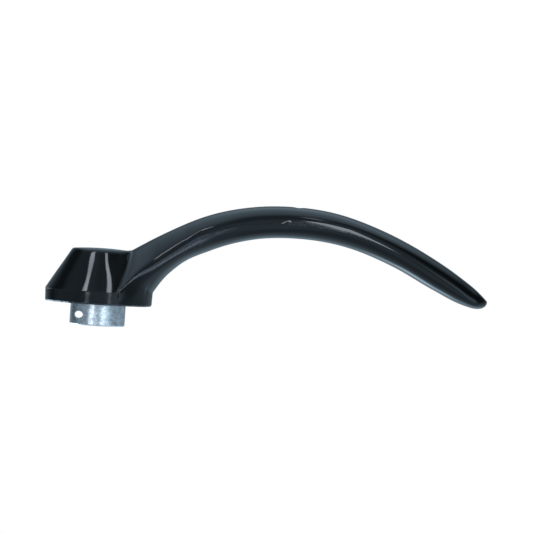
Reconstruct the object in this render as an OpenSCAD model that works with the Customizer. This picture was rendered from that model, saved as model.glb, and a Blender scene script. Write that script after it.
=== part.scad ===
// Inside door lever of a car: a gloss moulding over a steel core, driven by a square spindle.
// +Z runs along the spindle towards the top of the lever, +X points along the arm,
// and the origin is on the spindle's axis at the mouth of the boss.

/* [Base] */
// Radius of the base at its skirt
base_r = 22.3; // [21.5:0.1:24]
// Height of the base's underside above the mouth of the boss
base_z = 9; // [8:0.5:10]
// Height of the upright skirt
skirt_h = 5.3; // [4.5:0.1:6]
// Height of the flat top of the base above the mouth of the boss
top_z = 31.9; // [31:0.1:33]
// Radius of the flat top, before its edge is rounded
top_r = 11.6; // [10:0.1:13]
// Rounding of the top edge
top_round = 1.8; // [0.5:0.1:2.5]
// Width of the rim that bears on the door trim
rim_w = 3; // [2:0.1:4]
// Depth of the ring-shaped hollow in the underside
recess_h = 4.5; // [3:0.5:4.5]
// Number of ribs across the hollow
rib_count = 8; // [4:1:12]
// Thickness of each rib
rib_w = 1.6; // [1:0.1:2]

/* [Arm] */
// Distance from the spindle's axis to the tip
arm_reach = 162.5; // [155:0.5:175]
// Height of the arm's crest above the mouth of the boss
crest_z = 54.3; // [53:0.1:58]
// Half the width of the arm at its middle
arm_half_w = 10.3; // [9.5:0.1:11]
// Length of the rounded nose
nose_l = 7; // [5:0.5:9]

/* [Boss] */
// Radius of the boss
boss_r = 11.4; // [11:0.1:12]
// Radius of the round bore that takes the spindle's collar
bore_r = 7; // [6.5:0.1:7.2]
// Depth of the round bore
bore_h = 8; // [7.5:0.5:9]
// Width across the flats of the square socket
socket_w = 9; // [8:0.1:9.2]
// Height at which the square socket ends
socket_z = 19; // [17:0.5:19]
// Radius of the cross hole for the locking pin
pin_r = 1.75; // [1.25:0.05:1.75]
// Distance of the cross hole from the spindle's axis
pin_offset = 7.7; // [7.5:0.1:8]
// Height of the cross hole above the mouth
pin_z = 3.9; // [3.5:0.1:4.5]

/* [Core] */
// Thickness of the steel core
core_t = 3.5; // [2.5:0.5:3.5]
// Width of the steel core
core_w = 9; // [7:0.5:10]
// Radius of the eye that sits on the boss
eye_r = 9; // [8.6:0.1:10]
// Radius of the holes that key the core into the moulding
key_r = 1.8; // [1:0.1:2]

/* [Hidden] */
$fn = 64;

skirt_z = base_z + skirt_h;
recess_r = base_r - rim_w;
hub_wall = 2.6;
hub_r = boss_r + hub_wall;
round_steps = 6;

// Parts of the boss that are buried in the base
anchor_z = 12.5;
groove_h = 2.5;
groove_r = 9.8;
flange_z = anchor_z + groove_h;
flange_r = 12;
flange_top = 20;
key_w = 3;
key_depth = 1.6;
key_count = 6;
spigot_w = 10;
head_r = 7.6;
head_h = 1.6;
head_bevel = 0.6;
boss_bevel = 0.4;
eye_top = flange_top + core_t;

// Profile of the arm, as points [x, z] that smooth curves run through
top_edge = [[12, 31.5], [24, 38.8], [44, 48.6], [62, 53.1], [78, 54.3], [96, 52.8],
            [115, 47.4], [136, 38], [150, 29.8], [158, 24.15], [161, 21.5], [162.5, 20]];
under_edge = [[22, 14.4], [25.5, 19.8], [32, 26.6], [45, 33.8], [62, 39.4], [82, 41.1],
              [102, 38.8], [122, 32], [140, 23.15], [151, 18.3], [157, 16.7], [162.5, 16]];
parting_edge = [[8, 14.9], [14, 21], [22, 26.4], [30, 32.2], [40, 38.6], [50, 43.1], [66, 45.6],
                [84, 46.9], [104, 44.5], [122, 37.9], [140, 28.3], [149, 23.1], [155, 19.4],
                [158.5, 19], [162.5, 19.7]];
// Half width of the arm, as points [x, share of arm_half_w]
width_edge = [[8, 2], [12, 1.78], [16, 1.56], [20, 1.41], [25, 1.3], [30, 1.22], [40, 1.09],
              [52, 1.02], [60, 1], [77, 0.975], [92, 0.98], [108, 1], [118, 0.995], [140, 0.92],
              [155.5, 0.8], [162.5, 0.71]];
// Roundness of the arm's sections: the ridge, the side above the parting line, and below the line.
// A value of 2 is an ellipse, more is boxier, and 1 leaves a sharp edge
ridge_round = [[8, 1.25], [14, 1.55], [24, 1.9], [45, 2.1], [162.5, 2.1]];
side_round = [[8, 1.05], [34, 1], [44, 1.3], [62, 2.1], [162.5, 2.1]];
under_round = [[8, 4], [22, 3.6], [45, 2.3], [162.5, 2.1]];
// Middle of the steel core
core_line = [[13, 21.75], [24, 28], [34, 35.4], [50, 42.8], [80, 47.7], [112, 42.2], [136, 31.6],
             [146, 26.2]];
key_places = [60, 92, 124];
core_steps = 30;

root_x = width_edge[0][0];
root_end_x = 22;
mid_end_x = 150;
ring_points = 28;
arm_floor = base_z + 1.4;
stretch = arm_reach / top_edge[len(top_edge) - 1][0];
lift = crest_z / max([for (p = top_edge) p[1]]);

// Stations along the arm, in the lengths of the lists above: closer at the root and the nose
root_steps = 10;
mid_steps = 24;
nose_steps = 11;
tip_gap = 0.01;
list_end = top_edge[len(top_edge) - 1][0];
nose_reach = list_end - mid_end_x - tip_gap;
stations = concat(
    [for (i = [0 : root_steps - 1]) root_x + (root_end_x - root_x) * i / root_steps],
    [for (i = [0 : mid_steps - 1]) root_end_x + (mid_end_x - root_end_x) * i / mid_steps],
    [for (i = [0 : nose_steps]) mid_end_x + nose_reach * sin(90 * i / nose_steps)]);

// A smooth curve through points [x, value]: a cubic between each two, with weighted slopes
function rise(a, b) = (b[1] - a[1]) / (b[0] - a[0]);
function inner_slope(p, i) =
    ((p[i + 1][0] - p[i][0]) * rise(p[i - 1], p[i]) + (p[i][0] - p[i - 1][0]) * rise(p[i], p[i + 1]))
    / (p[i + 1][0] - p[i - 1][0]);
function slope(p, i) =
    i == 0 ? 1.5 * rise(p[0], p[1]) - 0.5 * inner_slope(p, 1)
    : i == len(p) - 1 ? 1.5 * rise(p[i - 1], p[i]) - 0.5 * inner_slope(p, i - 1)
    : inner_slope(p, i);
function span(p, x, i = 0) = i >= len(p) - 2 || x < p[i + 1][0] ? i : span(p, x, i + 1);
function cubic(a, b, sa, sb, h, t) =
    (2 * t ^ 3 - 3 * t ^ 2 + 1) * a + (t ^ 3 - 2 * t ^ 2 + t) * h * sa
    + (3 * t ^ 2 - 2 * t ^ 3) * b + (t ^ 3 - t ^ 2) * h * sb;
function through_span(p, x, i) =
    let (h = p[i + 1][0] - p[i][0])
    cubic(p[i][1], p[i + 1][1], slope(p, i), slope(p, i + 1), h, (x - p[i][0]) / h);
function through(p, x) = through_span(p, x, span(p, x));

// Section of the arm at a station
function nose(x) = x < list_end - nose_l ? 1 : sqrt(1 - ((x - list_end + nose_l) / nose_l) ^ 2);
function power(v, n) = sign(v) * abs(v) ^ (2 / n);
function parting_z(x) = through(parting_edge, x);
function top_z_at(x) = through(top_edge, x);
function under_z_at(x) = x < root_end_x ? arm_floor : through(under_edge, x);
function half_w_at(x) = arm_half_w * through(width_edge, x) * nose(x);
function section_point(x, a) =
    let (
        up = a < 180,
        across = lookup(x, up ? ridge_round : under_round),
        tall = lookup(x, up ? side_round : under_round),
        h = up ? top_z_at(x) - parting_z(x) : (parting_z(x) - under_z_at(x)) * nose(x)
    )
    [x * stretch, half_w_at(x) * power(cos(a), across), (parting_z(x) + h * power(sin(a), tall)) * lift];
function section(x) = [for (i = [0 : ring_points - 1]) section_point(x, 360 * i / ring_points)];

module arm_solid() {
    rings = len(stations);
    points = [for (x = stations) each section(x)];
    tip = [arm_reach, 0, parting_z(list_end) * lift];
    last = (rings - 1) * ring_points;
    sides = [for (r = [0 : rings - 2], i = [0 : ring_points - 1])
        let (j = (i + 1) % ring_points, a = r * ring_points, b = a + ring_points)
        each [[a + i, b + i, b + j], [a + i, b + j, a + j]]];
    root_face = [for (i = [0 : ring_points - 1]) i];
    nose_faces = [for (i = [0 : ring_points - 1]) [last + i, len(points), last + (i + 1) % ring_points]];
    polyhedron(concat(points, [tip]), concat(sides, [root_face], nose_faces));
}

// Outline of the base: skirt, cone and a flat top with a rounded edge
module base_outline() {
    lean = atan((base_r - top_r) / (top_z - skirt_z));
    turn = 90 - lean;
    reach = top_round * tan(turn / 2);
    centre = [top_r - reach, top_z - top_round];
    rounding = [for (i = [0 : round_steps])
        let (a = turn * (1 - i / round_steps))
        centre + top_round * [sin(a), cos(a)]];
    polygon(concat([[0, base_z], [base_r, base_z], [base_r, skirt_z]], rounding, [[0, top_z]]));
}

module underside_recess() {
    difference() {
        translate([0, 0, base_z - 1]) cylinder(r = recess_r, h = recess_h + 1);
        translate([0, 0, base_z - 2]) cylinder(r = hub_r, h = recess_h + 3);
        for (i = [0 : rib_count - 1])
            rotate([0, 0, 360 * (i + 0.5) / rib_count])
                translate([0, -rib_w / 2, base_z])
                    cube([base_r, rib_w, recess_h + 1]);
    }
}

// Outside of the boss: bush, groove, keyed flange, square spigot and riveted head
module boss_body() {
    rotate_extrude()
        polygon([[0, 0], [boss_r - boss_bevel, 0], [boss_r, boss_bevel], [boss_r, anchor_z],
                 [groove_r, anchor_z], [groove_r, flange_z], [0, flange_z]]);
    difference() {
        translate([0, 0, flange_z]) cylinder(r = flange_r, h = flange_top - flange_z);
        for (i = [0 : key_count - 1])
            rotate([0, 0, 360 * (i + 0.5) / key_count])
                translate([flange_r - key_depth, -key_w / 2, flange_z - 1])
                    cube([key_depth + 1, key_w, flange_top - flange_z + 2]);
    }
    translate([-spigot_w / 2, -spigot_w / 2, flange_top])
        cube([spigot_w, spigot_w, core_t]);
    translate([0, 0, eye_top])
        rotate_extrude()
            polygon([[0, 0], [head_r, 0], [head_r, head_h - head_bevel], [head_r - head_bevel, head_h],
                     [0, head_h]]);
}

// The core keeps its thickness square to its own line, so it is taller where the line is steep
function core_slope(x) = through(core_line, x + 0.5) - through(core_line, x - 0.5);
function fatten(x) = sqrt(1 + core_slope(x) ^ 2);
// The bent part follows the arm's height, and the eye stays on the boss
function lift_core(x) = 1 + (lift - 1) * min(1, (x - core_line[0][0]) / root_end_x);
function core_point(x, side) =
    [x * stretch, (through(core_line, x) + side * core_t / 2 * fatten(x)) * lift_core(x)];

module core_body() {
    start = core_line[0][0];
    reach = core_line[len(core_line) - 1][0] - start;
    xs = [for (i = [0 : core_steps]) start + reach * i / core_steps];
    upper = [for (x = xs) core_point(x, 1)];
    lower = [for (i = [core_steps : -1 : 0]) core_point(xs[i], -1)];
    bend = start * stretch - 1;
    outline = concat([[0, eye_top], [bend, eye_top]], upper, lower, [[bend, flange_top], [0, flange_top]]);
    difference() {
        union() {
            rotate([90, 0, 0])
                linear_extrude(core_w, center = true)
                    polygon(outline);
            translate([0, 0, flange_top]) cylinder(r = eye_r, h = core_t);
        }
        translate([-spigot_w / 2, -spigot_w / 2, flange_top - 1])
            cube([spigot_w, spigot_w, core_t + 2]);
        for (x = key_places)
            translate([x * stretch, 0, 0]) cylinder(r = key_r, h = 2 * crest_z);
    }
}

module lever_moulding() {
    color([0.05, 0.055, 0.06])
        difference() {
            union() {
                rotate_extrude() base_outline();
                arm_solid();
            }
            underside_recess();
            boss_body();
            core_body();
        }
}

module spindle_boss() {
    color([0.62, 0.65, 0.68])
        difference() {
            boss_body();
            translate([0, 0, -1]) cylinder(r = bore_r, h = bore_h + 1);
            translate([-socket_w / 2, -socket_w / 2, bore_h - 1])
                cube([socket_w, socket_w, socket_z - bore_h + 1]);
            translate([-pin_offset, 0, pin_z])
                rotate([90, 0, 0])
                    cylinder(r = pin_r, h = 3 * boss_r, center = true);
        }
}

module arm_core() {
    color([0.4, 0.42, 0.44]) core_body();
}

lever_moulding();
spindle_boss();
arm_core();
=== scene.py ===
import math

import bmesh
import bpy
import numpy as np
from mathutils import Matrix, Vector


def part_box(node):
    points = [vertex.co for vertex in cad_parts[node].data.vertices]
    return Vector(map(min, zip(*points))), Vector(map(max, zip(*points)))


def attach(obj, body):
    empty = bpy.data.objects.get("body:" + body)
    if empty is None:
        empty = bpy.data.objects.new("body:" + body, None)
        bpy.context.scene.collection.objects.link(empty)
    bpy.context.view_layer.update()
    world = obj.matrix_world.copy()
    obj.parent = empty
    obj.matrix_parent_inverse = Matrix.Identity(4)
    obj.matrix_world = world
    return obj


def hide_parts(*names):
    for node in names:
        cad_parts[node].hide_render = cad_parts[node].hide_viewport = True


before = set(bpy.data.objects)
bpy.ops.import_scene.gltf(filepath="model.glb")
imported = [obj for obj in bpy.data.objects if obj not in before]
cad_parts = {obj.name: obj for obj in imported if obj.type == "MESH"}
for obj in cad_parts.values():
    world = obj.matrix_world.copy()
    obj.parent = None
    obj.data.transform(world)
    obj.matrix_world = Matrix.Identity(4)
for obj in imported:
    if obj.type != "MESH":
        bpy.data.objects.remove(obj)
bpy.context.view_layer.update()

# Lengths are in millimetres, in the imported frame, up to the materials; MM turns them into metres.
MM = 0.001

lever_low, lever_high = (Vector(c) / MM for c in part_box("lever_moulding"))

# ---------------------------------------------------------------- sizes of the moulding

REACH = lever_high.x
BASE_R = -lever_low.x
BASE_Z = lever_low.z

# Skirt, with the small ledge where the cone stands on it
SKIRT_H = 5.3
SKIRT_TOP = BASE_Z + SKIRT_H
SKIRT_DRAFT = 0.18
LIP = 0.08
WALL_R = BASE_R - LIP
LEDGE_DROP = 0.25

# Cone and its slightly domed top
TOP_Z = 31.95
TOP_DOME = 0.55
TOP_R = 11.7
TOP_BLEND = 0.9
CONE_WAVE, CONE_WAVES, CONE_PHASE = 0.09, 10, 2.27
CONE_RISE = (TOP_Z - SKIRT_TOP) / (BASE_R - TOP_R)

# Scraped foot: how far in the bevel goes, and the waves that make it ragged as (size, count, phase)
FOOT_SCRAPE = 0.55
SCRAPE_MEAN = 1.1
RAGGED = [(0.3, 5, 1.0), (0.25, 13, 0.0), (0.25, 31, 2.0), (0.2, 57, 0.5)]

# Underside: ring-shaped hollow with ribs, hub and the boss's pocket
RIM_IN_R = 19.3
RECESS_H = 4.5
HUB_R = 14.0
HUB_FACE_W = 1.2
RIB_COUNT = 8
RIB_HALF_W = 0.8
BORE_WALL_R = 11.45
BORE_CHAMFER = 0.25
BORE_DEPTH = 3.4
# Rounded lip and drafted wall of a pocket: how far in from its edge, and how high above the rim
WALL_IN = [-0.3, -0.1, 0.0, 0.12, 0.34, 0.55, 0.8]
WALL_UP = [0, 0.03, 0.14, 0.5, RECESS_H - 0.55, RECESS_H - 0.12, RECESS_H]

# Where the arm starts, stops widening into the base, and is made of plain rows
ROOT_X = 8.0
TOP_START_X = 12.0
ROOT_END_X = 22.0
ROW_START_X = 40.0
NOSE_L = 7.0
# Slopes of the arm's lines where they run on inside the base
PARTING_SLOPE = 1.1
TOP_SLOPE = 0.62
VALLEY_BLEND = 1.4
NICK_X, NICK_L, NICK_W, NICK_DEPTH = 80.5, 1.5, 3.0, 0.3

# Profile of the arm, as points [x, value] that smooth curves run through
TOP_EDGE = [(12, 31.5), (24, 38.8), (44, 48.6), (62, 53.1), (78, 54.27), (96, 52.8),
            (115, 47.4), (136, 38), (150, 29.8), (158, 24.15), (161, 21.5), (162.5, 20.0)]
UNDER_EDGE = [(22, 14.4), (25.5, 19.8), (32, 26.6), (45, 33.8), (62, 39.4), (82, 41.1),
              (102, 38.8), (122, 32.0), (140, 23.15), (151, 18.3), (157, 16.7), (162.5, 16.0)]
PARTING_EDGE = [(8, 14.9), (14, 21), (22, 26.4), (30, 32.2), (40, 38.6), (50, 43.1), (66, 45.6),
                (84, 46.9), (104, 44.5), (122, 37.9), (140, 28.3), (149, 23.1), (155, 19.4),
                (158.5, 19.0), (162.5, 19.7)]
HALF_WIDTH = [(8, 20.6), (12, 18.3), (16, 16.1), (20, 14.55), (25, 13.4), (30, 12.55),
              (35, 11.85), (40, 11.2), (46, 10.85), (52, 10.55), (60, 10.3), (70, 10.1),
              (77, 10.05), (85, 10.06), (92, 10.1), (100, 10.2), (108, 10.28), (118, 10.25),
              (140, 9.5), (155.5, 8.2), (162.5, 7.3)]
# Roundness of the sections: of the ridge, of the side down to the parting line, and below it
RIDGE_ROUND = [(8, 1.25), (14, 1.55), (24, 1.9), (45, 2.1), (162.5, 2.1)]
SIDE_ROUND = [(8, 1.05), (34, 1.0), (44, 1.3), (62, 2.1), (162.5, 2.1)]
UNDER_ROUND = [(8, 4), (22, 3.6), (45, 2.3), (162.5, 2.1)]

# The ground-off flash: how far its flat reaches above and below the parting line
FLAT_UP = [(8, 0.15), (14, 1.2), (22, 1.9), (40, 2.6), (46, 1.4), (52, 0.8), (74, 0.8), (76, 1.7),
           (100, 1.5), (120, 0.8), (150, 0.4), (162.5, 0.2)]
FLAT_DOWN = [(8, 0.15), (14, 0.5), (22, 0.5), (32, 0.8), (40, 1.3), (46, 0.9), (54, 0.8),
             (70, 0.8), (76, 1.3), (100, 1.2), (120, 0.7), (150, 0.4), (162.5, 0.2)]
# How far its upper and lower corners are rounded
SHOULDER = [(8, 0.08), (15, 1.2), (30, 1.8), (42, 1.6), (60, 0.35), (84, 0.45), (96, 1.5),
            (108, 1.7), (122, 0.9), (140, 0.5), (162.5, 0.4)]
HEEL = [(8, 0.08), (15, 0.5), (24, 1.0), (40, 1.5), (50, 0.8), (60, 0.5), (162.5, 0.5)]
# A path that ends short is drawn together over this many times what it was cut by
CUT_SPREAD = 4
# The most that a rounded corner takes of the flat's width, and that the flat takes of the section
SHOULDER_SHARE, HEEL_SHARE = 0.55, 0.4
FLAT_SHARE = 0.5
EDGE_SHARE = 0.98
LEAST_DEPTH = 0.4
# The flat leans in towards its foot, by this share of its width up to a widest one
BAND_LEAN, LEAN_WIDTH = 0.13, 3.0

# How the arm's flank and underside run into the skirt's wall
FLARE_Z = BASE_Z + 2.0
UNDER_REACH = 5.0
LEAST_PAST = 0.01
WALL_ROUND = 1.6

# Fineness of the mesh
BACK_SPOKES = 104
EDGE_SPOKES = 90
CORE_RINGS = 26
OUTER_RINGS = 62
CORE_R = 13.0
SPOKE_EASE = 0.55
PATH_STEPS = 60
SMOOTH_STEPS = 400
WALL_STEPS = 46
ROW_POINTS = 34
ROW_STEP = 0.9
NOSE_ROWS = 26
NOSE_STOP = 0.995
FLAT_STEPS = 4
CORNER_STEPS = 5
HOLLOW_RINGS = 7
HOLLOW_SPOKES = 10
WELD = 0.002
SPECK = 0.0001
SHARP_DEGREES = 28
TINY = 1e-6

# Materials of the moulding; across the flat, its rounded upper corner stays glossy
GLOSS, FILED = 0, 1
ACROSS_FLAT = [GLOSS] * CORNER_STEPS + [FILED] * (FLAT_STEPS + CORNER_STEPS)

# ---------------------------------------------------------------- curves along the arm


def smooth_curve(points):
    """A function of x through the points: a cubic between each two, with weighted slopes."""
    xs, vs = (np.array(c, float) for c in zip(*points))
    steps, rises = np.diff(xs), np.diff(vs) / np.diff(xs)
    slopes = np.empty(len(xs))
    slopes[1:-1] = (steps[1:] * rises[:-1] + steps[:-1] * rises[1:]) / (steps[1:] + steps[:-1])
    slopes[0] = 1.5 * rises[0] - 0.5 * slopes[1]
    slopes[-1] = 1.5 * rises[-1] - 0.5 * slopes[-2]

    def value(x):
        x = np.asarray(x, float)
        i = np.clip(np.searchsorted(xs, x, side="right") - 1, 0, len(xs) - 2)
        h = steps[i]
        t = (x - xs[i]) / h
        start = (2 * t**3 - 3 * t**2 + 1) * vs[i] + (t**3 - 2 * t**2 + t) * h * slopes[i]
        end = (3 * t**2 - 2 * t**3) * vs[i + 1] + (t**3 - t**2) * h * slopes[i + 1]
        return start + end

    return value


def straight_curve(points):
    """A function of x that runs straight from point to point."""
    xs, vs = zip(*points)
    return lambda x: np.interp(x, xs, vs)


top_at = smooth_curve(TOP_EDGE)
under_at = smooth_curve(UNDER_EDGE)
parting_at = smooth_curve(PARTING_EDGE)
width_at = smooth_curve(HALF_WIDTH)
ridge_round_at = straight_curve(RIDGE_ROUND)
side_round_at = straight_curve(SIDE_ROUND)
under_round_at = straight_curve(UNDER_ROUND)
flat_up_at = straight_curve(FLAT_UP)
flat_down_at = straight_curve(FLAT_DOWN)
shoulder_at = straight_curve(SHOULDER)
heel_at = straight_curve(HEEL)


def nose_at(x):
    """Share of its full size that a section has: 1, falling to 0 along the rounded nose."""
    t = np.clip((np.asarray(x, float) - REACH + NOSE_L) / NOSE_L, 0, 1)
    return np.sqrt(1 - t**2)


def half_width(x):
    return width_at(np.maximum(x, ROOT_X)) * nose_at(x)


def low_half_width(x):
    """The lower half is a little narrower, so that the ground flat leans in towards its foot."""
    lean = BAND_LEAN * np.minimum(flat_up_at(x) + flat_down_at(x), LEAN_WIDTH)
    return np.maximum(half_width(x) - lean * nose_at(x), TINY)


def arm_parting(x):
    """Height of the parting line; it falls away straight inside the base."""
    inside = parting_at(ROOT_X) + (x - ROOT_X) * PARTING_SLOPE
    return np.where(x < ROOT_X, inside, parting_at(np.maximum(x, ROOT_X)))


def arm_top(x):
    """Height of the ridge; it runs on straight inside the base."""
    inside = top_at(TOP_START_X) + (x - TOP_START_X) * TOP_SLOPE
    return np.where(x < TOP_START_X, inside, top_at(np.maximum(x, TOP_START_X)))


# ---------------------------------------------------------------- surfaces of the moulding


def smooth_max(a, b, k):
    """The larger of two heights, blended over k where they are close."""
    h = np.maximum(k - np.abs(a - b), 0) / k
    return np.maximum(a, b) + h * h * k / 4


def smooth_min(a, b, k):
    return -smooth_max(-a, -b, k)


def smooth_step(t):
    return t * t * (3 - 2 * t)


def cone_height(r, turn):
    """Height of the base's top and cone; the cone waves a little down its side."""
    top = TOP_Z - TOP_DOME * (r / TOP_R) ** 2
    share = np.clip((BASE_R - r) / (BASE_R - TOP_R), 0, 1)
    wave = CONE_WAVE * np.sin(2 * np.pi * share) * np.sin(CONE_WAVES * turn + CONE_PHASE)
    side = SKIRT_TOP + (BASE_R - r) * CONE_RISE + wave
    return smooth_min(top, side, TOP_BLEND)


def arm_upper(x, y):
    """Height of the arm's upper surface over a point of the plan."""
    share = np.clip(np.abs(y) / np.maximum(half_width(x), TINY), 0, 1)
    rise = (1 - share ** ridge_round_at(x)) ** (1 / side_round_at(x))
    return arm_parting(x) + (arm_top(x) - arm_parting(x)) * rise


def nick(x, y):
    """A shallow knock across the ridge of the arm."""
    return NICK_DEPTH * np.exp(-((x - NICK_X) / NICK_L) ** 2 - (y / NICK_W) ** 2)


def upper_height(x, y):
    """Height of cone and arm together, with the valley between them."""
    cone = cone_height(np.hypot(x, y), np.arctan2(y, x))
    return smooth_max(cone, arm_upper(x, y), VALLEY_BLEND) - nick(x, y)


def under_depth(x, y):
    """How far the arm's underside lies below the parting line at the middle of its width."""
    r = np.maximum(np.hypot(x, y), ROOT_END_X)
    return (arm_parting(x) - under_at(np.minimum(r, REACH))) * nose_at(x)


def lower_height(x, y):
    """Height of the arm's underside over a point of the plan."""
    m = under_round_at(x)
    share = np.clip(np.abs(y) / low_half_width(x), 0, 1)
    return arm_parting(x) - np.maximum(under_depth(x, y), 0) * (1 - share**m) ** (1 / m)


def edge_y(width, flat, height, side_round, ridge_round):
    """Half width of a section at a height above or below the parting line."""
    share = np.clip(flat / np.maximum(height, TINY), 0, EDGE_SHARE)
    return width * (1 - share**side_round) ** (1 / ridge_round)


def upper_edge(x):
    """The upper edge of the ground flat, as (y, z)."""
    up = arm_top(x) - arm_parting(x)
    flat = np.minimum(flat_up_at(x), FLAT_SHARE * up)
    y = edge_y(half_width(x), flat, up, side_round_at(x), ridge_round_at(x))
    return float(y), float(arm_parting(x) + flat)


def lower_edge(x):
    """The lower edge of the ground flat, as (y, z)."""
    width = low_half_width(x)
    down = np.maximum(under_depth(x, width), LEAST_DEPTH)
    flat = np.minimum(flat_down_at(x), FLAT_SHARE * down)
    y = edge_y(width, flat, down, under_round_at(x), under_round_at(x))
    return float(y), float(arm_parting(x) - flat)


# ---------------------------------------------------------------- mesh helpers


class Shell:
    """Collects points and faces; a face keeps the material slot it was added with."""

    def __init__(self):
        self.points, self.faces, self.slots = [], [], []

    def add(self, points):
        """Adds a row of points and gives back their indices."""
        first = len(self.points)
        self.points.extend(tuple(p) for p in points)
        return list(range(first, first + len(points)))

    def strip(self, a, b, slot=GLOSS, closed=False):
        """Quads between two rows of the same length, in one material slot or a slot for each."""
        count = len(a) if closed else len(a) - 1
        slots = [slot] * count if isinstance(slot, int) else slot
        for i in range(count):
            j = (i + 1) % len(a)
            face = [a[i], a[j], b[j], b[i]]
            face = [v for k, v in enumerate(face) if v not in face[:k]]
            if len(face) > 2:
                self.faces.append(face)
                self.slots.append(slots[i])

    def fan(self, row, centre, slot=GLOSS, closed=False):
        """Triangles from a row to one point."""
        count = len(row) if closed else len(row) - 1
        for i in range(count):
            self.faces.append([row[i], row[(i + 1) % len(row)], centre])
            self.slots.append(slot)

    def zip_loops(self, outer, inner):
        """Triangles between two closed loops round the axis, each a list of (angle, index)."""
        outer, inner = sorted(outer), sorted(inner)

        def angle(loop, k):
            return loop[k % len(loop)][0] + 2 * math.pi * (k // len(loop))

        i = j = 0
        while i < len(outer) or j < len(inner):
            a, b = outer[i % len(outer)][1], inner[j % len(inner)][1]
            inner_done = j >= len(inner)
            if inner_done or (i < len(outer) and angle(outer, i + 1) <= angle(inner, j + 1)):
                i += 1
                self.faces.append([a, outer[i % len(outer)][1], b])
            else:
                j += 1
                self.faces.append([a, inner[j % len(inner)][1], b])
            self.slots.append(GLOSS)

    def build(self, name, materials):
        """Makes the mesh object, with its rows welded together."""
        mesh = bpy.data.meshes.new(name)
        mesh.from_pydata([tuple(c * MM for c in p) for p in self.points], [], self.faces)
        for material in materials:
            mesh.materials.append(material)
        mesh.polygons.foreach_set("material_index", self.slots)
        mesh.polygons.foreach_set("use_smooth", [True] * len(self.faces))
        mesh.validate()
        mesh.update()
        weld_mesh(mesh)
        piece = bpy.data.objects.new(name, mesh)
        bpy.context.collection.objects.link(piece)
        return piece


def weld_mesh(mesh):
    """Welds the rows that meet, turns every face outwards and marks true edges sharp."""
    work = bmesh.new()
    work.from_mesh(mesh)
    bmesh.ops.remove_doubles(work, verts=work.verts, dist=WELD * MM)
    bmesh.ops.dissolve_degenerate(work, edges=work.edges, dist=SPECK * MM)
    bmesh.ops.recalc_face_normals(work, faces=work.faces)
    limit = math.radians(SHARP_DEGREES)
    for edge in work.edges:
        if len(edge.link_faces) == 2:
            edge.smooth = edge.calc_face_angle() < limit
    work.to_mesh(mesh)
    work.free()
    mesh.update()


def lengths_along(path):
    return np.concatenate([[0], np.cumsum(np.hypot(*np.diff(path, axis=0).T))])


def resampled(path, lengths, wanted):
    """The points of a path at the wanted lengths."""
    return np.stack([np.interp(wanted, lengths, column) for column in path.T], 1)


def smooth_path(path, width, count):
    """Resamples a path by length with its corners rounded over a width, and its ends kept."""
    lengths = lengths_along(path)
    total = lengths[-1]
    dense = resampled(path, lengths, np.linspace(0, total, SMOOTH_STEPS))
    reach = max(1, int(width / max(total, TINY) * SMOOTH_STEPS / 2))
    padded = np.concatenate([2 * dense[0] - dense[reach:0:-1], dense,
                             2 * dense[-1] - dense[-2:-reach - 2:-1]])
    kernel = np.hanning(2 * reach + 3)[1:-1]
    kernel /= kernel.sum()
    soft = np.stack([np.convolve(column, kernel, "valid") for column in padded.T], 1)
    soft[0], soft[-1] = path[0], path[-1]
    lengths = lengths_along(soft)
    return resampled(soft, lengths, np.linspace(0, lengths[-1], count))


def pull_back(path, cut):
    """The same path with its last points drawn back, so that it ends short by the cut."""
    gaps = np.linalg.norm(np.diff(path, axis=0), axis=1)
    left = np.concatenate([np.cumsum(gaps[::-1])[::-1], [0.0]])
    soft = CUT_SPREAD * cut
    wanted = np.where(left < soft, cut + left * (1 - cut / soft), left)
    return resampled(path[::-1], left[::-1], wanted[::-1])[::-1]


# ---------------------------------------------------------------- outer skin of the lever


def section(x, edge, width_of, round_at, height_of):
    """Points of a section at x from an edge of the flat to the middle, y >= 0."""
    y0, z0 = edge(x)
    n = float(round_at(x))
    w = max(float(width_of(x)), TINY)
    start = math.acos(min(1.0, (y0 / w) ** (n / 2)))
    points = [(x, y0, z0)]
    for a in np.linspace(start, math.pi / 2, ROW_POINTS)[1:]:
        y = w * math.cos(a) ** (2 / n) if a < math.pi / 2 else 0.0
        points.append((x, y, float(height_of(np.float64(x), np.float64(y)))))
    return np.array(points)


def arm_section(x):
    """The half section at x: from the ridge to the flat, across it, and on to the underside."""
    top = section(x, upper_edge, half_width, ridge_round_at, upper_height)
    low = section(x, lower_edge, low_half_width, under_round_at, lower_height)
    return crease(top[::-1], low, x)


def upper_spoke(x, y, z):
    """From the axis out over the base's top to a point of the outline at height z."""
    end = math.hypot(x, y)
    inner = np.linspace(0, CORE_R, CORE_RINGS)
    t = np.linspace(0, 1, OUTER_RINGS + 1)[1:]
    eased = (1 - SPOKE_EASE) * t + SPOKE_EASE * np.sin(t * math.pi / 2)
    radii = np.concatenate([inner, CORE_R + (end - CORE_R) * eased])
    px, py = radii * (x / end), radii * (y / end)
    pz = upper_height(px, py)
    pz[-1] = z
    return np.stack([px, py, pz], 1)


def skirt_radius(z):
    """The skirt narrows a little towards its foot."""
    return WALL_R - SKIRT_DRAFT * np.clip((SKIRT_TOP - z) / SKIRT_H, 0, 1)


def flare_path(end, z):
    """Down the arm's flank, which runs smoothly in or out to the skirt's wall."""
    levels = np.linspace(z, BASE_Z + FOOT_SCRAPE, PATH_STEPS)
    t = np.clip((levels - FLARE_Z) / max(z - FLARE_Z, TINY), 0, 1)
    radii = skirt_radius(levels) + (end - skirt_radius(z)) * smooth_step(t)
    return np.stack([radii, levels], 1)


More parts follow.
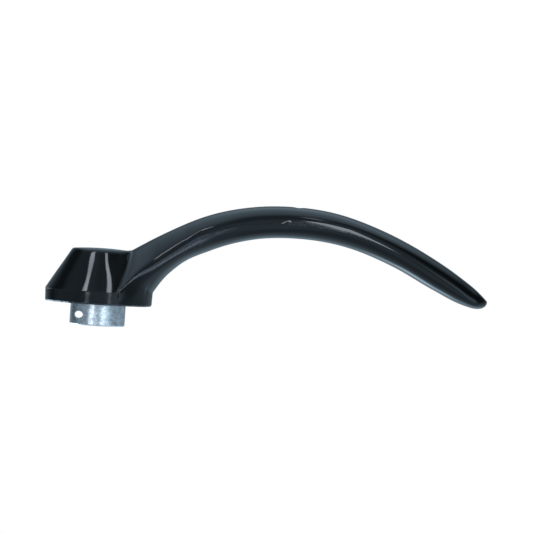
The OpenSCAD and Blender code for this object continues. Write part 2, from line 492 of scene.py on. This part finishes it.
def under_path(end, z, ux, uy):
    """In under the arm to the skirt's wall, then down it."""
    radii = np.linspace(end, WALL_R, PATH_STEPS)
    heights = np.minimum(lower_height(radii * ux, radii * uy), z)
    heights[0] = z
    levels = np.linspace(heights[-1], BASE_Z + FOOT_SCRAPE, PATH_STEPS)[1:]
    down = np.stack([skirt_radius(levels), levels], 1)
    return np.concatenate([np.stack([radii, heights], 1), down])


def lower_spoke(x, y, z):
    """From the outline's lower edge in or out to the skirt's wall, then down it to the foot."""
    end = math.hypot(x, y)
    ux, uy = x / end, y / end
    soft = smooth_path(flare_path(end, z), WALL_ROUND, WALL_STEPS)
    past = min(1.0, (end - WALL_R) / UNDER_REACH)
    if past > LEAST_PAST:
        own = smooth_path(under_path(end, z, ux, uy), WALL_ROUND, WALL_STEPS)
        soft = soft + (own - soft) * smooth_step(past)
    return np.array([(r * ux, r * uy, level) for r, level in soft])


def rounded_corner(before, corner, after):
    t = np.linspace(0, 1, CORNER_STEPS + 1)[:, None]
    return (1 - t) ** 2 * before + 2 * t * (1 - t) * corner + t**2 * after


def crease(upper, lower, x):
    """Trims the upper and lower paths at the ground flat, and makes the row of points between."""
    high, low = upper[-1], lower[0]
    width = np.linalg.norm(high - low)
    cut_up = min(float(shoulder_at(x)), SHOULDER_SHARE * width)
    cut_down = min(float(heel_at(x)), HEEL_SHARE * width)
    upper = pull_back(upper, cut_up)
    lower = pull_back(lower[::-1], cut_down)[::-1]
    first = high + (low - high) * (cut_up / width)
    last = low + (high - low) * (cut_down / width)
    middle = first + (last - first) * np.linspace(0, 1, FLAT_STEPS + 1)[1:-1, None]
    row = np.concatenate([rounded_corner(upper[-1], high, first), middle,
                          rounded_corner(last, low, lower[0])])
    return upper, row, lower


def root_spokes():
    """Upper paths, flat rows and lower paths round the root, and how many run round the base."""
    join = math.atan2(upper_edge(ROOT_X)[0], ROOT_X)
    turns = np.linspace(math.pi, join, BACK_SPOKES, endpoint=False)
    edge_xs = np.linspace(ROOT_X, ROW_START_X, EDGE_SPOKES)
    row_top, row_flat, row_low = arm_section(ROW_START_X)

    # Round the back of the base, where the flat is only a fine ledge
    round_base = [(BASE_R * math.cos(a), BASE_R * math.sin(a)) for a in turns]
    shrink = WALL_R / BASE_R
    upper = [upper_spoke(x, y, SKIRT_TOP) for x, y in round_base]
    lower = [lower_spoke(x * shrink, y * shrink, SKIRT_TOP - LEDGE_DROP) for x, y in round_base]
    places = [ROOT_X] * len(round_base)

    # Along the root of the arm
    for x in edge_xs:
        upper.append(upper_spoke(x, *upper_edge(x)))
        lower.append(lower_spoke(x, *lower_edge(x)))
        places.append(x)

    flats = []
    for k, x in enumerate(places):
        upper[k], row, lower[k] = crease(upper[k], lower[k], x)
        flats.append(row)
    upper[-1][-1], flats[-1], lower[-1][0] = row_top[-1], row_flat, row_low[0]

    # Across the first row of the arm, to the middle
    upper += [upper_spoke(x, y, z) for x, y, z in row_top[-2::-1]]
    lower += [lower_spoke(x, y, z) for x, y, z in row_low[1:]]
    return upper, flats, lower, len(round_base)


def row_places():
    """Where the arm's rows stand: evenly spaced, then closer round the nose."""
    nose_x = REACH - NOSE_L
    plain = np.linspace(ROW_START_X, nose_x, int((nose_x - ROW_START_X) / ROW_STEP))
    turns = np.linspace(0, math.pi / 2, NOSE_ROWS)[1:-1] * NOSE_STOP
    return np.concatenate([plain, nose_x + NOSE_L * np.sin(turns)])


def lever_half(shell, side):
    """One half of the outer skin, y >= 0, or its mirror for side -1; gives back the foot's row."""
    def put(points):
        return shell.add([(p[0], p[1] * side, p[2]) for p in points])

    upper, flats, lower, base_count = root_spokes()
    flat_rows = [put(row) for row in flats]
    for k, (a, b) in enumerate(zip(flat_rows, flat_rows[1:])):
        shell.strip(a, b, slot=ACROSS_FLAT if k >= base_count else GLOSS)
    for paths in (upper, lower):
        rows = [put(path) for path in paths]
        for a, b in zip(rows, rows[1:]):
            shell.strip(a, b)
    foot = [row[-1] for row in rows]

    previous = None
    for x in row_places():
        row = [put(part) for part in arm_section(x)]
        if previous:
            for a, b, slot in zip(previous, row, (GLOSS, ACROSS_FLAT, GLOSS)):
                shell.strip(a, b, slot=slot)
        previous = row
    tip = put([(REACH, 0, float(parting_at(REACH)))])[0]
    for part, slot in zip(previous, (GLOSS, FILED, GLOSS)):
        shell.fan(part, tip, slot=slot)
    return foot


# ---------------------------------------------------------------- underside of the lever


def pocket_height(depth_in):
    """Height of the underside by how far a point is inside a pocket."""
    return BASE_Z + np.interp(depth_in, WALL_IN, WALL_UP)


def underside(shell, foot):
    """Rim, ribbed ring-shaped hollow and hub, from the foot loop in to the boss."""
    rim_radii = [RIM_IN_R - s for s in WALL_IN]
    hub_radii = [HUB_R + s for s in reversed(WALL_IN)]
    hollow_radii = list(np.linspace(rim_radii[-1], hub_radii[0], HOLLOW_RINGS)[1:-1])
    mouth_radii = [HUB_R - HUB_FACE_W, BORE_WALL_R + BORE_CHAMFER]
    sector = 2 * math.pi / RIB_COUNT
    rows = []
    for r in rim_radii + hollow_radii + hub_radii + mouth_radii:
        row = []
        rib_side = [math.asin((RIB_HALF_W + s) / r) for s in WALL_IN]
        across = [0.0] + rib_side
        across += list(np.linspace(rib_side[-1], sector - rib_side[-1], HOLLOW_SPOKES)[1:-1])
        across += [sector - a for a in reversed(rib_side)]
        for k in range(RIB_COUNT):
            for a in across:
                side_in = r * math.sin(min(a, sector - a)) - RIB_HALF_W
                z = float(pocket_height(min(RIM_IN_R - r, r - HUB_R, side_in)))
                turn = sector * (k + 0.5) + a
                row.append((r * math.cos(turn), r * math.sin(turn), z))
        rows.append(shell.add(row))
    for a, b in zip(rows, rows[1:]):
        shell.strip(a, b, closed=True)
    rim = [(math.atan2(shell.points[i][1], shell.points[i][0]), i) for i in rows[0]]
    shell.zip_loops(foot, rim)

    # The pocket's wall beside the boss, closed by a flat top
    mouth = [shell.points[i] for i in rows[-1]]
    wall = [rows[-1]]
    for z in (BASE_Z + BORE_CHAMFER, BASE_Z + BORE_DEPTH):
        wall.append(shell.add([(x * BORE_WALL_R / math.hypot(x, y),
                                y * BORE_WALL_R / math.hypot(x, y), z) for x, y, _ in mouth]))
    for a, b in zip(wall, wall[1:]):
        shell.strip(a, b, closed=True)
    top = shell.add([(0, 0, BASE_Z + BORE_DEPTH)])[0]
    shell.fan(wall[-1], top, closed=True)


def scraped_foot(shell, ends):
    """A narrow ragged bevel from the skirt in to the flat rim; gives back the rim's loop."""
    loop = {}
    for i in ends:
        x, y, _ = shell.points[i]
        angle = math.atan2(y, x)
        if angle < TINY - math.pi:
            angle = math.pi
        loop.setdefault(round(angle, 6), (x, y))
    wall, rim = [], []
    for a, (x, y) in sorted(loop.items()):
        r = math.hypot(x, y)
        ragged = sum(size * math.sin(count * a + phase) for size, count, phase in RAGGED)
        scrape = FOOT_SCRAPE * (SCRAPE_MEAN + ragged)
        wall_point, rim_point = shell.add([
            (x, y, BASE_Z + FOOT_SCRAPE),
            (x * (r - scrape) / r, y * (r - scrape) / r, BASE_Z)])
        wall.append(wall_point)
        rim.append((a, rim_point))
    shell.strip(wall, [i for _, i in rim], slot=FILED, closed=True)
    return rim


def make_lever(materials):
    shell = Shell()
    ends = lever_half(shell, 1) + lever_half(shell, -1)
    underside(shell, scraped_foot(shell, ends))
    return shell.build("lever_body", materials)


# ---------------------------------------------------------------- material helpers, in metres


def new_material(name):
    material = bpy.data.materials.new(name)
    material.use_nodes = True
    tree = material.node_tree
    return material, tree, tree.nodes["Principled BSDF"]


def noise(tree, scale, detail=3.0, stretch=None):
    """Noise over the object, drawn out along the axes where it is given a stretch for each."""
    place = tree.nodes.new("ShaderNodeTexCoord").outputs["Object"]
    if stretch:
        squeeze = tree.nodes.new("ShaderNodeMapping")
        squeeze.inputs["Scale"].default_value = tuple(1 / k for k in stretch)
        tree.links.new(place, squeeze.inputs["Vector"])
        place = squeeze.outputs["Vector"]
    node = tree.nodes.new("ShaderNodeTexNoise")
    node.inputs["Scale"].default_value = scale
    node.inputs["Detail"].default_value = detail
    tree.links.new(place, node.inputs["Vector"])
    return node.outputs["Fac"]


def mapped(tree, value, low, high, from_low=0.3, from_high=0.7, kind="LINEAR"):
    """A value moved from one range, noise's usual one, to another."""
    node = tree.nodes.new("ShaderNodeMapRange")
    node.interpolation_type = kind
    node.inputs["From Min"].default_value = from_low
    node.inputs["From Max"].default_value = from_high
    node.inputs["To Min"].default_value = low
    node.inputs["To Max"].default_value = high
    tree.links.new(value, node.inputs["Value"])
    return node.outputs["Result"]


def math_node(tree, operation, first, second):
    node = tree.nodes.new("ShaderNodeMath")
    node.operation = operation
    for socket, value in zip(node.inputs, (first, second)):
        if isinstance(value, (int, float)):
            socket.default_value = value
        else:
            tree.links.new(value, socket)
    return node.outputs["Value"]


def bump(tree, value, strength, distance, below=None):
    node = tree.nodes.new("ShaderNodeBump")
    node.inputs["Strength"].default_value = strength
    node.inputs["Distance"].default_value = distance
    tree.links.new(value, node.inputs["Height"])
    if below is not None:
        tree.links.new(below, node.inputs["Normal"])
    return node.outputs["Normal"]


def along_axis(tree, axis, start, end, low, high):
    """A value that changes evenly from low to high between two places along an axis."""
    place = tree.nodes.new("ShaderNodeTexCoord")
    split = tree.nodes.new("ShaderNodeSeparateXYZ")
    tree.links.new(place.outputs["Object"], split.inputs["Vector"])
    return mapped(tree, split.outputs[axis], low, high, start, end)


def colour_ramp(tree, value, first, second, starts=0.0, ends=1.0):
    """A colour that goes from the first to the second as the value does."""
    ramp = tree.nodes.new("ShaderNodeValToRGB")
    low, high = ramp.color_ramp.elements
    low.position, high.position = starts, ends
    low.color, high.color = first, second
    tree.links.new(value, ramp.inputs["Fac"])
    return ramp.outputs["Color"]


# ---------------------------------------------------------------- materials

BLACK = (0.003, 0.0033, 0.0036, 1)
# Root colour of the filed flash and the scraped foot: partly the matt filing's own tone, partly a
# painted highlight that lightens the band
FILED_GREY_AND_HIGHLIGHT = (0.036, 0.041, 0.047, 1)
FLASH_BLACK = (0.006, 0.0066, 0.007, 1)
# The flash is left matt up to the first of these places along the arm, and polished from the
# second; between them its lighter root colour, partly a painted highlight, fades to black.
FILED_END, POLISHED_START = 0.038, 0.056
ZINC_DARK = (0.62, 0.64, 0.67, 1)
ZINC_LIGHT = (0.93, 0.95, 0.97, 1)
ZINC_BROWN = (0.72, 0.66, 0.64, 1)
STEEL = (0.4, 0.41, 0.42, 1)
# Roughness, from the smoothest places to the roughest
POLISHED = (0.045, 0.075)
SKIRT_WORN = 0.1
FILED_ROUGH, FLASH_POLISHED = 0.24, 0.05
GRIT = (0.02, 0.08)
ZINC_DULL = (0.24, 0.42)
STEEL_DULL = (0.4, 0.6)
GLOSS_IOR = 1.5


def black_gloss():
    """Polished black, with the skirt a little worn."""
    material, tree, shader = new_material("black_moulding")
    shader.inputs["Base Color"].default_value = BLACK
    shader.inputs["IOR"].default_value = GLOSS_IOR
    worn_from, worn_to = (SKIRT_TOP + 0.2) * MM, (SKIRT_TOP - 0.3) * MM
    skirt_wear = along_axis(tree, "Z", worn_from, worn_to, 0.0, SKIRT_WORN)
    patchy = mapped(tree, noise(tree, 900.0, stretch=(9, 9, 1)), 0.2, 1.0)
    worn = math_node(tree, "MULTIPLY", skirt_wear, patchy)
    polish = mapped(tree, noise(tree, 60.0, 4), *POLISHED)
    tree.links.new(math_node(tree, "ADD", polish, worn), shader.inputs["Roughness"])
    waves = bump(tree, noise(tree, 45.0, 1), 0.4, 0.0006)
    grain = bump(tree, noise(tree, 1800.0, 2), 0.08, 0.00004, below=waves)
    tree.links.new(grain, shader.inputs["Normal"])
    return material


def ground_flash():
    """Matt where the file left it at the root, in a lighter tone that is partly the filing's own
    and partly a painted highlight; polished black again further out.
    """
    material, tree, shader = new_material("ground_flash")
    # Painted highlight: the root of the flat is lightened past its own matt tone, fading to black
    # along the arm
    painted_highlight_fade = along_axis(tree, "X", FILED_END, POLISHED_START, 0.0, 1.0)
    tree.links.new(colour_ramp(tree, painted_highlight_fade, FILED_GREY_AND_HIGHLIGHT, FLASH_BLACK), shader.inputs["Base Color"])
    filed = along_axis(tree, "X", FILED_END, POLISHED_START, FILED_ROUGH, FLASH_POLISHED)
    grit = mapped(tree, noise(tree, 700.0, 4), *GRIT)
    tree.links.new(math_node(tree, "ADD", filed, grit), shader.inputs["Roughness"])
    marks = bump(tree, noise(tree, 900.0, 4), 0.12, 0.0001)
    tree.links.new(marks, shader.inputs["Normal"])
    return material


def zinc_plate():
    """Blotchy dull zinc, with fine scratches up the bush and brownish streaks running up it."""
    material, tree, shader = new_material("zinc_plate")
    shader.inputs["Metallic"].default_value = 1.0
    blotches = colour_ramp(tree, noise(tree, 620.0, 5), ZINC_DARK, ZINC_LIGHT, 0.36, 0.62)
    brown = mapped(tree, noise(tree, 700.0, stretch=(1, 1, 12)), 0.0, 0.75, 0.52, 0.68)
    plate = tree.nodes.new("ShaderNodeMix")
    plate.data_type = "RGBA"
    tree.links.new(brown, plate.inputs["Factor"])
    tree.links.new(blotches, plate.inputs["A"])
    plate.inputs["B"].default_value = ZINC_BROWN
    tree.links.new(plate.outputs["Result"], shader.inputs["Base Color"])
    dullness = mapped(tree, noise(tree, 900.0, 4), *ZINC_DULL)
    tree.links.new(dullness, shader.inputs["Roughness"])
    scratches = bump(tree, noise(tree, 1500.0, stretch=(2, 2, 9)), 0.25, 0.00006)
    marks = bump(tree, noise(tree, 1200.0, 4), 0.35, 0.00008, below=scratches)
    tree.links.new(marks, shader.inputs["Normal"])
    return material


def core_steel():
    material, tree, shader = new_material("core_steel")
    shader.inputs["Metallic"].default_value = 1.0
    shader.inputs["Base Color"].default_value = STEEL
    dullness = mapped(tree, noise(tree, 400.0, 4), *STEEL_DULL)
    tree.links.new(dullness, shader.inputs["Roughness"])
    return material


# ---------------------------------------------------------------- pieces


def coat(node, material):
    """Gives a carried-over CAD node its material."""
    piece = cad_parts[node]
    piece.data.materials.clear()
    piece.data.materials.append(material)


gloss, flash = black_gloss(), ground_flash()
lever = make_lever([gloss, flash])
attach(lever, "root")
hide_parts("lever_moulding")
coat("spindle_boss", zinc_plate())
coat("arm_core", core_steel())

# ---------------------------------------------------------------- stage, light and camera

FLOOR_Z = -0.012
FLOOR_HALF = 3.0
WHITE = (1, 1, 1, 1)
# Soft patches of the studio's surroundings: direction, inner and outer angle, strength
PATCHES = [((0.05, 0.32, 1.0), 16, 48, 0.92),
           ((0.0, -0.8, 0.6), 12, 45, 0.22),
           ((0.0, -0.1, -1.0), 40, 95, 0.29),
           ((0.0, 0.6, -0.8), 10, 50, 0.2),
           ((0.0, -1.0, 0.0), 15, 50, 0.27),
           ((0.6, -0.78, 0.16), 6, 20, 0.8),
           ((-0.45, 0.75, -0.5), 10, 26, 2.5),
           ((0.0, 1.0, 0.0), 15, 60, 0.2),
           ((0.7, -0.5, -0.4), 15, 50, 0.2),
           ((0.9, 0.35, -0.45), 10, 50, 0.27),
           ((-0.6, -0.3, 0.75), 10, 38, 0.19),
           ((-1.0, -0.3, 0.0), 10, 45, 0.16)]
SURROUND = 0.05
SURROUND_TINT = (0.75, 1.02, 1.23)
# Strip lamps in front of the object: name, centre, length, width, radiance, spread in degrees
OPEN, HOODED = 180, 22
LAMPS = [("low_left", (-0.148, -0.33, 0.06), 0.16, 0.045, 6.2, OPEN),
         ("low_right", (0.132, -0.33, 0.06), 0.16, 0.034, 5.2, OPEN),
         ("high_left", (-0.175, -0.19, 0.4), 0.16, 0.062, 7.0, HOODED),
         ("high_right", (0.118, -0.207, 0.4), 0.16, 0.06, 7.0, HOODED),
         ("root_crease", (0.132, -0.139, 0.14), 0.1, 0.1, 9.0, HOODED)]
LAMP_TINT = (0.91, 1.0, 1.12)
BASE_MIDDLE = Vector((0.0, 0.0, 0.025))
CAMERA_AIM = Vector((0.0688, 0.0, 0.02875))
CAMERA_DISTANCE = 0.9
CAMERA_VIEW_W = 0.2223
CAMERA_YAW, CAMERA_PITCH, CAMERA_ROLL = -4.5, 0.7, 3.8
SENSOR_W = 36


def make_floor():
    """A plain pale floor that lights nothing, so that the gloss mirrors only the studio."""
    mesh = bpy.data.meshes.new("floor")
    corners = [(-1, -1), (1, -1), (1, 1), (-1, 1)]
    mesh.from_pydata([(x * FLOOR_HALF, y * FLOOR_HALF, FLOOR_Z) for x, y in corners],
                     [], [(0, 1, 2, 3)])
    floor = bpy.data.objects.new("floor", mesh)
    bpy.context.collection.objects.link(floor)
    material, _, shader = new_material("floor")
    shader.inputs["Base Color"].default_value = (0, 0, 0, 1)
    shader.inputs["Specular IOR Level"].default_value = 0
    shader.inputs["Emission Color"].default_value = WHITE
    shader.inputs["Emission Strength"].default_value = 1.0
    mesh.materials.append(material)
    floor.visible_glossy = False
    floor.visible_diffuse = False
    floor.visible_shadow = False


def make_world():
    """Dark surroundings with soft bright patches; white to the camera."""
    world = bpy.data.worlds.new("studio")
    bpy.context.scene.world = world
    world.use_nodes = True
    tree = world.node_tree
    place = tree.nodes.new("ShaderNodeTexCoord").outputs["Generated"]
    total = SURROUND
    for direction, inner, outer, strength in PATCHES:
        aim = tree.nodes.new("ShaderNodeVectorMath")
        aim.operation = "DOT_PRODUCT"
        tree.links.new(place, aim.inputs[0])
        aim.inputs[1].default_value = Vector(direction).normalized()
        glow = mapped(tree, aim.outputs["Value"], 0.0, strength, math.cos(math.radians(outer)),
                      math.cos(math.radians(inner)), kind="SMOOTHSTEP")
        total = math_node(tree, "ADD", total, glow)
    studio = tree.nodes.new("ShaderNodeVectorMath")
    studio.operation = "SCALE"
    studio.inputs[0].default_value = SURROUND_TINT
    tree.links.new(total, studio.inputs["Scale"])
    path = tree.nodes.new("ShaderNodeLightPath")
    shown = tree.nodes.new("ShaderNodeMix")
    shown.data_type = "RGBA"
    shown.clamp_result = False
    tree.links.new(path.outputs["Is Camera Ray"], shown.inputs["Factor"])
    tree.links.new(studio.outputs["Vector"], shown.inputs["A"])
    shown.inputs["B"].default_value = WHITE
    tree.links.new(shown.outputs["Result"], tree.nodes["Background"].inputs["Color"])


def strip_lamp(name, centre, length, width, radiance, spread):
    """A flat lamp that faces the base, with its length running upwards."""
    centre = Vector(centre)
    away = (centre - BASE_MIDDLE).normalized()
    along = (Vector((0, 0, 1)) - away * away.z).normalized()
    across = along.cross(away).normalized()
    data = bpy.data.lights.new(name, "AREA")
    data.shape = "RECTANGLE"
    data.size, data.size_y = width, length
    # A narrow spread makes the lamp brighter ahead of it, which the gain takes out again
    half = math.radians(spread / 2)
    gain = math.tan(half) / (math.tan(half) - half) if spread < OPEN else 1.0
    data.energy = radiance * math.pi * width * length / gain
    data.color = LAMP_TINT
    data.spread = math.radians(spread)
    light = bpy.data.objects.new(name, data)
    turn = Matrix((across, along, across.cross(along))).transposed()
    light.matrix_world = Matrix.Translation(centre) @ turn.to_4x4()
    light.visible_camera = False
    bpy.context.collection.objects.link(light)


def make_camera():
    yaw, pitch, roll = (math.radians(a) for a in (CAMERA_YAW, CAMERA_PITCH, CAMERA_ROLL))
    back = Vector((math.sin(yaw) * math.cos(pitch), -math.cos(yaw) * math.cos(pitch),
                   math.sin(pitch)))
    data = bpy.data.cameras.new("camera")
    data.sensor_width = SENSOR_W
    data.lens = SENSOR_W * CAMERA_DISTANCE / CAMERA_VIEW_W
    camera = bpy.data.objects.new("camera", data)
    turn = (-back).to_track_quat("-Z", "Y").to_matrix() @ Matrix.Rotation(roll, 3, "Z")
    place = Matrix.Translation(CAMERA_AIM + back * CAMERA_DISTANCE)
    camera.matrix_world = place @ turn.to_4x4()
    bpy.context.collection.objects.link(camera)
    bpy.context.scene.camera = camera


make_floor()
make_world()
for settings in LAMPS:
    strip_lamp(*settings)
make_camera()
bpy.context.scene.view_settings.view_transform = "Standard"
